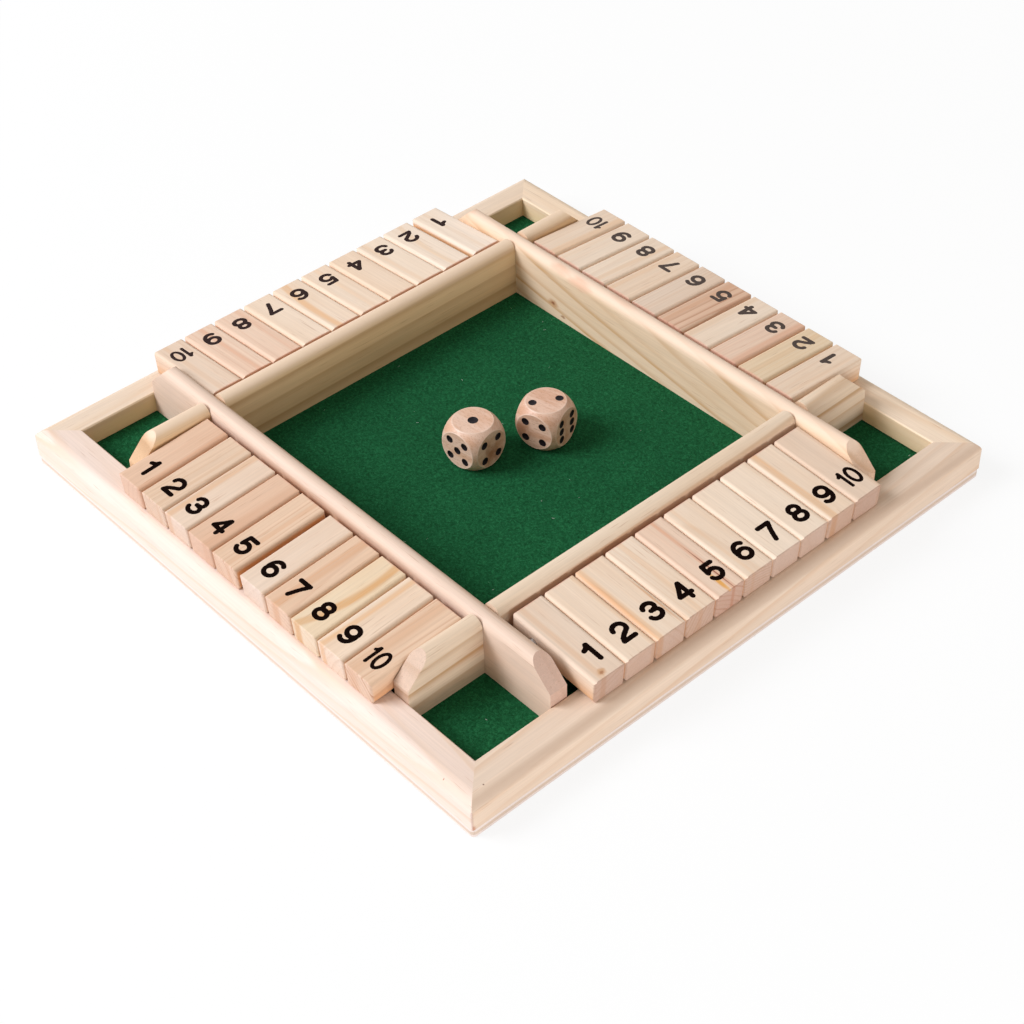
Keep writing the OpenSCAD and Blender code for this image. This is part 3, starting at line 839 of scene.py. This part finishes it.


# Pad-printing ink: near-black and matt, thin enough that the wood's fibres break it up a
# little. It is dark grey on the two far sides. Full and thin tone of each side's ink:
INK_TONES = {"front": ("#100604", "#241a17"), "right": ("#100604", "#241a17"),
             "back": ("#544944", "#6c605a"), "left": ("#362927", "#4c3e3a")}
inks = {}
for side, (full_tone, thin_tone) in INK_TONES.items():
    inks[side], tree, _, in_mm = begin_finish(f"black printing ink, {side} numbers")
    speckle = add_node(tree, "ShaderNodeTexNoise", {"Vector": in_mm, "Scale": 3.5, "Detail": 4})
    thin_spots = add_node(tree, "ShaderNodeMapRange", {
        "Value": speckle, "From Min": 0.6, "From Max": 0.8, "To Max": 0.5})
    tone = add_node(tree, "ShaderNodeMix", {
        "Factor": thin_spots, UNDER: linear(full_tone), OVER: linear(thin_tone)},
        data_type="RGBA")
    gloss = add_node(tree, "ShaderNodeMapRange", {
        "Value": speckle, "From Min": 0.3, "From Max": 0.7, "To Min": 0.7, "To Max": 0.9})
    close_finish(tree, {"Base Color": tone, "Roughness": gloss, "Specular IOR Level": 0.02},
                 speckle, strength=0.3, depth=0.00005)

# How much larger than drawn each side's numbers are, then how far each lies to the reader's
# right of the tile's middle and towards the outer end, in mm: they were printed by hand, the
# right row a little off the middle.
PRINT_SIZE = {"front": 1.04, "right": 1.065, "back": 0.99, "left": 1.0}
PRINT_SHIFT = {
    "front": ((-0.5, 0.2), (0.3, -0.2), (0, 0), (0.1, -0.1), (0, 0), (-0.2, 0), (-0.6, 0.2),
              (-0.5, 0), (-0.3, 0.5), (0, 0.7)),
    "right": ((1.0, -0.6), (1.1, -0.5), (1.0, -0.5), (0.7, -0.1), (1.1, 0), (1.4, 0),
              (1.3, 0.1), (1.2, 0), (1.2, 0), (0.6, 0)),
    "back": ((0.9, 0), (0.5, 0), (0.5, 0), (0.4, 0), (0.3, 0), (0.3, 0), (0.3, 0), (0.2, 0),
             (0.1, 0), (0.1, 0)),
    "left": ((0, 0), (0.3, 0), (-0.3, 0), (0, -0.2), (0, 0.1), (0.3, 0), (-0.1, 0.2), (0, 0.2),
             (0, 0.4), (0, 0.5)),
}
prints = {value: print_number(value) for value in STROKES}
for number, side in enumerate(SIDES):
    size = PRINT_SIZE[side]
    face_turn = Matrix.Rotation(math.radians(90 * number), 3, "Z") @ \
        Matrix.Rotation(TILE_TILT, 3, "X")
    for value, (points, faces) in prints.items():
        body = f"tile_{side}_{value}"
        shift, outward = PRINT_SHIFT[side][value - 1]
        on_board = [hinges[body] + face_turn @ Vector(
            ((x * size + shift) / 1000, (y * size + INK_CENTRE - outward) / 1000,
             TILE_THICKNESS / 2 + z / 1000)) for x, y, z in points]
        number_print = new_piece(f"number_{side}_{value}", on_board, faces, inks[side])
        number_print.data.shade_smooth()
        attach(number_print, body)


# ---- Dice ----------------------------------------------------------------------------------
# Two 16 mm hardwood dice with ball-turned corners, tumbled smooth and lightly waxed. Their
# pips are shallow drilled dimples filled with black paint.

DIE_HALF = 0.008
DIE_BALL = 0.01056         # radius of the ball that its corners are turned to
FELT_REST = 0.00005        # the dice lie this far above the felt
PIP_PITCH = 0.00328
PIP_BALL = 0.00224         # radius of the ball-nosed drill
PIP_DEPTH = 0.00048
LONE_PIP = 1.25            # the single pip is drilled larger
PAINT_REACH = math.radians(39.3)    # the paint laps a little over the dimple's rim
PAINT_CLEAR = 0.000003     # between the paint's underside and the wood
PAINT_FILL = 0.8           # the paint's top is this much as deep as the dimple
PAINT_EDGE = math.radians(35)       # a sharper bend than this stays an edge
DICE = {
    # Place and turn about the upright, then the faces up, front and right. Then the wood's
    # ground and band colours, and its red-brown patch's middle in mm and strength: on die_a the
    # patch is painted shade on its right faces, on die_b a heartwood patch.
    "die_a": dict(at=(-0.0053, -0.008), turn=6, up=1, front=5, right=4, ground="#e4c1ac",
                  band="#d8ac90", patch=(10.0, 0.5, -2.0), patch_strength=0.85),
    "die_b": dict(at=(0.0038, 0.0164), turn=16, up=2, front=4, right=6, ground="#e1bca6",
                  band="#d1a286", patch=(-6.0, -8.0, -0.5), patch_strength=0.75),
}

# Beech, tumbled smooth: short brown flecks a millimetre or two long on a pinkish tan ground,
# broad soft year bands, and a paler burnished line round each flat face.
DIE_FLECK = "#9c6a45"
# Painted shade on die_a's right faces, a heartwood patch on die_b.
DIE_PATCH_AND_SHADE = "#a06a4a"
DIE_BURNISH = "#ecd2c0"
DIE_SLANT = (0.5, 0.3, 0.2)        # the fibres cross the die at a slant


def beech(name, middle, turn, ground, band, patch, patch_strength):
    """A die's beech. A patch is its middle in mm in the die's own frame; it darkens the wood, as
    heartwood on die_b and as painted shade on die_a.
    """
    finish, tree, _, in_mm = begin_finish(name, middle, (0, 0, turn))
    slant, fleck_place = (add_node(tree, "ShaderNodeMapping", {
        "Vector": in_mm, "Rotation": DIE_SLANT, "Scale": scale})
        for scale in ((0.05, 0.32, 0.32), (0.75, 4.2, 2.6)))
    bands = add_node(tree, "ShaderNodeTexNoise", {
        "Vector": slant, "Scale": 1, "Detail": 3, "Roughness": 0.6})
    band_amount = add_node(tree, "ShaderNodeMapRange", {
        "Value": bands, "From Min": 0.4, "From Max": 0.66}, interpolation_type="SMOOTHSTEP")
    flecks = add_node(tree, "ShaderNodeTexNoise", {
        "Vector": fleck_place, "Scale": 1, "Detail": 2, "Roughness": 0.7})
    fleck_amount = add_node(tree, "ShaderNodeMapRange", {
        "Value": flecks, "From Min": 0.53, "From Max": 0.72, "To Max": 0.55})
    # One darker red-brown patch: heartwood on die_b, painted shade on die_a's right faces.
    off_patch = add_node(tree, "ShaderNodeVectorMath", {0: in_mm, 1: patch}, operation="DISTANCE")
    ragged = add_node(tree, "ShaderNodeTexNoise", {"Vector": in_mm, "Scale": 0.45, "Detail": 4})
    off_patch = add_node(tree, "ShaderNodeMath", {
        0: ragged, 1: 7.0, 2: off_patch}, operation="MULTIPLY_ADD")
    patch_amount = add_node(tree, "ShaderNodeMapRange", {
        "Value": off_patch, "From Min": 5.0, "From Max": 10.0, "To Min": patch_strength,
        "To Max": 0.0}, interpolation_type="SMOOTHSTEP")
    # The rim of a flat face is where the ball and the flat meet: both are nearest there.
    reach = add_node(tree, "ShaderNodeVectorMath", {0: in_mm}, operation="LENGTH")
    mirrored = add_node(tree, "ShaderNodeVectorMath", {0: in_mm}, operation="ABSOLUTE")
    sides = add_node(tree, "ShaderNodeSeparateXYZ", {0: mirrored})
    widest = sides.outputs["X"]
    for way in "YZ":
        widest = add_node(tree, "ShaderNodeMath", {
            0: widest, 1: sides.outputs[way]}, operation="MAXIMUM")
    off_rim = add_node(tree, "ShaderNodeMath", {0: reach, 1: widest}, operation="ADD")
    off_rim = add_node(tree, "ShaderNodeMath", {
        0: (DIE_HALF + DIE_BALL) * 1000, 1: off_rim}, operation="SUBTRACT")
    rim_amount = add_node(tree, "ShaderNodeMapRange", {
        "Value": off_rim, "From Min": 0.02, "From Max": 0.3, "To Min": 0.5, "To Max": 0.0},
        interpolation_type="SMOOTHSTEP")
    tone = linear(ground)
    for amount, colour in ((band_amount, band), (fleck_amount, DIE_FLECK),
                           (patch_amount, DIE_PATCH_AND_SHADE), (rim_amount, DIE_BURNISH)):
        tone = add_node(tree, "ShaderNodeMix", {
            "Factor": amount, UNDER: tone, OVER: linear(colour)}, data_type="RGBA")
    polish = add_node(tree, "ShaderNodeMapRange", {
        "Value": flecks, "From Min": 0.3, "From Max": 0.7, "To Min": 0.36, "To Max": 0.52})
    close_finish(tree, {"Base Color": tone, "Roughness": polish, "Specular IOR Level": 0.45},
                 flecks, strength=0.25, depth=0.00004)
    return finish


# Black gloss paint, dried a little uneven in its dimples.
paint, tree, _, in_mm = begin_finish("black pip paint")
uneven = add_node(tree, "ShaderNodeTexNoise", {"Vector": in_mm, "Scale": 1.8, "Detail": 3})
tone = add_node(tree, "ShaderNodeMix", {
    "Factor": uneven, UNDER: linear("#0c090b"), OVER: linear("#231b20")}, data_type="RGBA")
gloss = add_node(tree, "ShaderNodeMapRange", {
    "Value": uneven, "From Min": 0.3, "From Max": 0.7, "To Min": 0.38, "To Max": 0.55})
close_finish(tree, {"Base Color": tone, "Roughness": gloss, "Specular IOR Level": 0.14},
             uneven, strength=0.4, depth=0.00005)

# One drop of paint on each point: a bowl that lies in the dimple, and the same bowl made
# shallower on top of it, joined along the rim.
drops, given = new_group(
    "pip paint", "GeometryNodeTree",
    {"Geometry": ("Ball middles",), "Float": ("Ball radius", "Rim radius", "Fill"),
     "Material": ("Paint",)}, {"Geometry": ("Drops",)})
disc = add_node(drops, "GeometryNodeMeshCone", {
    "Vertices": 24, "Side Segments": 6, "Radius Top": 0.0,
    "Radius Bottom": given.outputs["Rim radius"], "Depth": 0.001}, fill_type="NONE")
spot = add_node(drops, "GeometryNodeInputPosition")
flat = add_node(drops, "ShaderNodeVectorMath", {0: spot, 1: (1, 1, 0)}, operation="MULTIPLY")
out_by = add_node(drops, "ShaderNodeVectorMath", {0: flat}, operation="LENGTH")


def ball_depth(from_axis):
    """How deep the ball lies below its middle, at a distance from the axis."""
    squares = [add_node(drops, "ShaderNodeMath", {0: value, 1: 2.0}, operation="POWER")
               for value in (given.outputs["Ball radius"], from_axis)]
    left = add_node(drops, "ShaderNodeMath", {0: squares[0], 1: squares[1]}, operation="SUBTRACT")
    return add_node(drops, "ShaderNodeMath", {0: left}, operation="SQRT")


deep = ball_depth(out_by)
rim_deep = ball_depth(given.outputs["Rim radius"])
below_rim = add_node(drops, "ShaderNodeMath", {0: deep, 1: rim_deep}, operation="SUBTRACT")
shallow = add_node(drops, "ShaderNodeMath", {
    0: given.outputs["Fill"], 1: below_rim, 2: rim_deep}, operation="MULTIPLY_ADD")
skins = []
for level in (deep, shallow):
    down = add_node(drops, "ShaderNodeMath", {0: level, 1: -1.0}, operation="MULTIPLY")
    lowered = add_node(drops, "ShaderNodeCombineXYZ", {"Z": down})
    bowl = add_node(drops, "ShaderNodeVectorMath", {0: flat, 1: lowered}, operation="ADD")
    skins.append(add_node(drops, "GeometryNodeSetPosition", {
        "Geometry": disc, "Position": bowl}))
skins[0] = add_node(drops, "GeometryNodeFlipFaces", {"Mesh": skins[0]})
drop = add_node(drops, "GeometryNodeJoinGeometry")
for skin in skins:
    drops.links.new(skin.outputs[0], drop.inputs[0])
drop = add_node(drops, "GeometryNodeMergeByDistance", {"Geometry": drop, "Distance": 0.0000001})
facing, drop_size = (add_node(drops, "GeometryNodeInputNamedAttribute", {
    "Name": name}, data_type=kind)
                     for name, kind in (("facing", "FLOAT_VECTOR"), ("drop_size", "FLOAT")))
drop_turn = add_node(drops, "FunctionNodeAlignRotationToVector", {"Vector": facing})
laid = add_node(drops, "GeometryNodeInstanceOnPoints", {
    "Points": given.outputs["Ball middles"], "Instance": drop, "Rotation": drop_turn,
    "Scale": drop_size})
real = add_node(drops, "GeometryNodeRealizeInstances", {"Geometry": laid})
painted = add_node(drops, "GeometryNodeSetMaterial", {
    "Geometry": real, "Material": given.outputs["Paint"]})
add_node(drops, "NodeGroupOutput", {"Drops": painted})

# Where the pips sit on a face of each count, in steps of the pips' pitch.
LONE, SLANT, CROSS_SLANT, WAIST = \
    ((0, 0),), ((-1, -1), (1, 1)), ((-1, 1), (1, -1)), ((-1, 0), (1, 0))
PIP_PLACES = {1: LONE, 2: SLANT, 3: LONE + SLANT, 4: SLANT + CROSS_SLANT,
              5: LONE + SLANT + CROSS_SLANT, 6: SLANT + CROSS_SLANT + WAIST}
# The turns that bring the upper face to the top, front, right, back, left and bottom.
FACE_TURNS = ((0, 0, 0), (90, 0, 0), (90, 0, 90), (90, 0, 180), (90, 0, 270), (180, 0, 0))
for die, look in DICE.items():
    middle = Vector((*look["at"], FELT_TOP + FELT_REST + DIE_HALF))
    die_turn = Matrix.Rotation(math.radians(look["turn"]), 3, "Z")
    # Opposite faces of a die add up to seven.
    counts = (look["up"], look["front"], look["right"],
              7 - look["front"], 7 - look["right"], 7 - look["up"])
    places, directions, drop_sizes = [], [], []
    for count, face_turn in zip(counts, FACE_TURNS):
        turned = die_turn @ Euler([math.radians(t) for t in face_turn]).to_matrix()
        size = LONE_PIP if count == 1 else 1.0
        for across, up in PIP_PLACES[count]:
            places.append(middle + turned @ Vector(
                (across * PIP_PITCH, up * PIP_PITCH, DIE_HALF + size * (PIP_BALL - PIP_DEPTH))))
            directions.extend(turned @ Vector((0, 0, 1)))
            drop_sizes.append(size)
    seeds = new_piece(f"pip middles, {die}", places, [], paint)
    for name, kind, field, values in (("facing", "FLOAT_VECTOR", "vector", directions),
                                      ("drop_size", "FLOAT", "value", drop_sizes)):
        attribute = seeds.data.attributes.new(name, kind, "POINT")
        attribute.data.foreach_set(field, values)
    paint_ball = PIP_BALL - PAINT_CLEAR
    pips = grown(seeds, drops, f"pips_{die}", ball_radius=paint_ball,
                 rim_radius=paint_ball * math.sin(PAINT_REACH), fill=PAINT_FILL, paint=paint)
    pips.data.shade_smooth()
    pips.data.set_sharp_from_angle(angle=PAINT_EDGE)
    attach(pips, die)
    give(die, beech(f"tumbled beech, {die}", middle, math.radians(look["turn"]),
                    look["ground"], look["band"], look["patch"], look["patch_strength"]))


# ---- Floor, light and camera ---------------------------------------------------------------
# A pale sweep under the board, one large soft lamp from the camera's left, a small low one
# from the right and a slightly warm room around. To the camera the floor fades into white.

FLOOR_HALF = 2.5
FLOOR_LEVEL = -0.0001      # just under the board
FLOOR_FADE = (220, 800)    # mm from the middle, where the paper turns plain white
ROOM_LIGHT = 0.43
ROOM_WARMTH = (1, 0.95, 0.86, 1)
WHITE = (1, 1, 1, 1)


def seen_directly(tree):
    """1 for rays that show the background to the camera, straight or in a metal."""
    path = add_node(tree, "ShaderNodeLightPath")
    return add_node(tree, "ShaderNodeMath", {
        0: path.outputs["Is Camera Ray"], 1: path.outputs["Is Glossy Ray"]},
        operation="MAXIMUM")


# Away from the board the paper fades into plain white, so that no edge of it shows.
sweep, tree, _, in_mm = begin_finish("pale paper sweep")
reach = add_node(tree, "ShaderNodeVectorMath", {0: in_mm}, operation="LENGTH")
share = add_node(tree, "ShaderNodeMapRange", {
    "Value": reach, "From Min": FLOOR_FADE[0], "From Max": FLOOR_FADE[1],
    "To Min": 0.86, "To Max": 1.0},
    interpolation_type="SMOOTHSTEP")
seen = add_node(tree, "ShaderNodeMath", {0: seen_directly(tree), 1: share}, operation="MULTIPLY")
paper = add_node(tree, "ShaderNodeBsdfDiffuse", {"Color": linear("#f6f6f6")})
white = add_node(tree, "ShaderNodeEmission", {"Color": WHITE, "Strength": 1.0})
mixed = add_node(tree, "ShaderNodeMixShader", {0: seen, 1: paper, 2: white})
add_node(tree, "ShaderNodeOutputMaterial", {"Surface": mixed})
floor = new_piece("floor_sweep", [
    (x * FLOOR_HALF, y * FLOOR_HALF, FLOOR_LEVEL)
    for x, y in ((-1, -1), (1, -1), (1, 1), (-1, 1))], [(0, 1, 2, 3)], sweep)

world = bpy.data.worlds.new("white room")
bpy.context.scene.world = world
world.use_nodes = True
tree = world.node_tree
tree.nodes.clear()
seen = seen_directly(tree)
strength = add_node(tree, "ShaderNodeMapRange", {
    "Value": seen, "To Min": ROOM_LIGHT, "To Max": 1.0})
tint = add_node(tree, "ShaderNodeMix", {
    "Factor": seen, UNDER: ROOM_WARMTH, OVER: WHITE}, data_type="RGBA")
glow = add_node(tree, "ShaderNodeBackground", {"Color": tint, "Strength": strength})
add_node(tree, "ShaderNodeOutputWorld", {"Surface": glow})

# Place, target, size, power and colour of each lamp: a softbox above the front left corner,
# and a low card lamp that lights the frame's right-hand faces.
for name, place, target, size, power, colour in (
        ("key softbox", (-1.07, -1.52, 1.54), (0, 0, 0), (1.2, 1.2), 61.9,
         (0.904, 0.938, 1.0)),
        ("low card", (0.75, -0.1, 0.06), (0.112, -0.1, 0.008), (0.6, 0.12), 2.2,
         (1.0, 1.0, 1.0))):
    lamp = bpy.data.lights.new(name, "AREA")
    lamp.shape = "RECTANGLE"
    lamp.size, lamp.size_y = size
    lamp.energy = power
    lamp.color = colour
    holder = bpy.data.objects.new(name, lamp)
    bpy.context.scene.collection.objects.link(holder)
    holder.location = place
    holder.rotation_euler = (Vector(place) - Vector(target)).to_track_quat("Z", "Y").to_euler()
    holder.visible_camera = False

# The photograph's viewing angle: the camera stands off from its target and is rolled a little.
CAMERA_AZIMUTH = math.radians(49.198)
CAMERA_ELEVATION = math.radians(42.214)
CAMERA_ROLL = math.radians(-1.92)
CAMERA_TARGET = Vector((0.02361, -0.01726, 0.0065))
CAMERA_DISTANCE = 0.66577
CAMERA_LENS = 72.13        # mm, for a sensor 36 mm wide
lens = bpy.data.cameras.new("studio camera")
lens.sensor_width = 36
lens.lens = CAMERA_LENS
lens.clip_start = 0.01
lens.clip_end = 20
camera = bpy.data.objects.new("studio camera", lens)
bpy.context.scene.collection.objects.link(camera)
camera.matrix_world = (
    Matrix.Translation(CAMERA_TARGET) @ Matrix.Rotation(CAMERA_AZIMUTH, 4, "Z")
    @ Matrix.Rotation(math.pi / 2 - CAMERA_ELEVATION, 4, "X")
    @ Matrix.Rotation(CAMERA_ROLL, 4, "Z") @ Matrix.Translation((0, 0, CAMERA_DISTANCE)))
bpy.context.scene.camera = camera
bpy.context.scene.view_settings.view_transform = "Standard"
